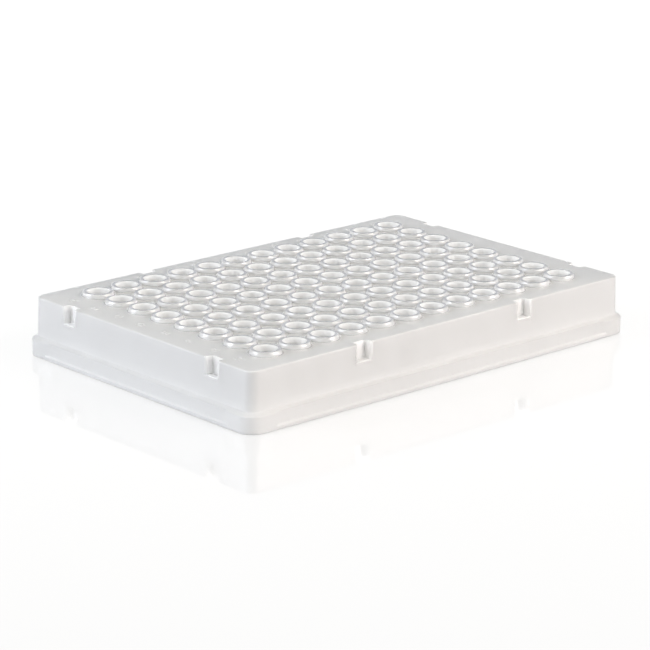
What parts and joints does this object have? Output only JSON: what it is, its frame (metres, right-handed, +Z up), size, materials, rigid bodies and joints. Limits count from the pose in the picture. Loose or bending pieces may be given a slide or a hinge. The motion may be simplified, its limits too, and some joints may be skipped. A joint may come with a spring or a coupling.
{
  "type": "well plate",
  "caption": "Skirted low-profile laboratory plate with a grid of tapered wells, moulded in one piece of natural polypropylene.",
  "frame": {"origin": "middle of the footprint, on the plane that the skirt stands on", "axes": "+X along the long side towards column 12, +Y along the short side towards row A, +Z up out of the wells"},
  "size_m": [0.1278, 0.0854, 0.0159],
  "materials": {
    "natural_polypropylene": "natural, milky-clear polypropylene: lightly frosted on the deck and skirt, clear and polished in the wells, collars and notches"
  },
  "bodies": {
    "root": {"plate": "natural_polypropylene"}
  },
  "joints": []
}
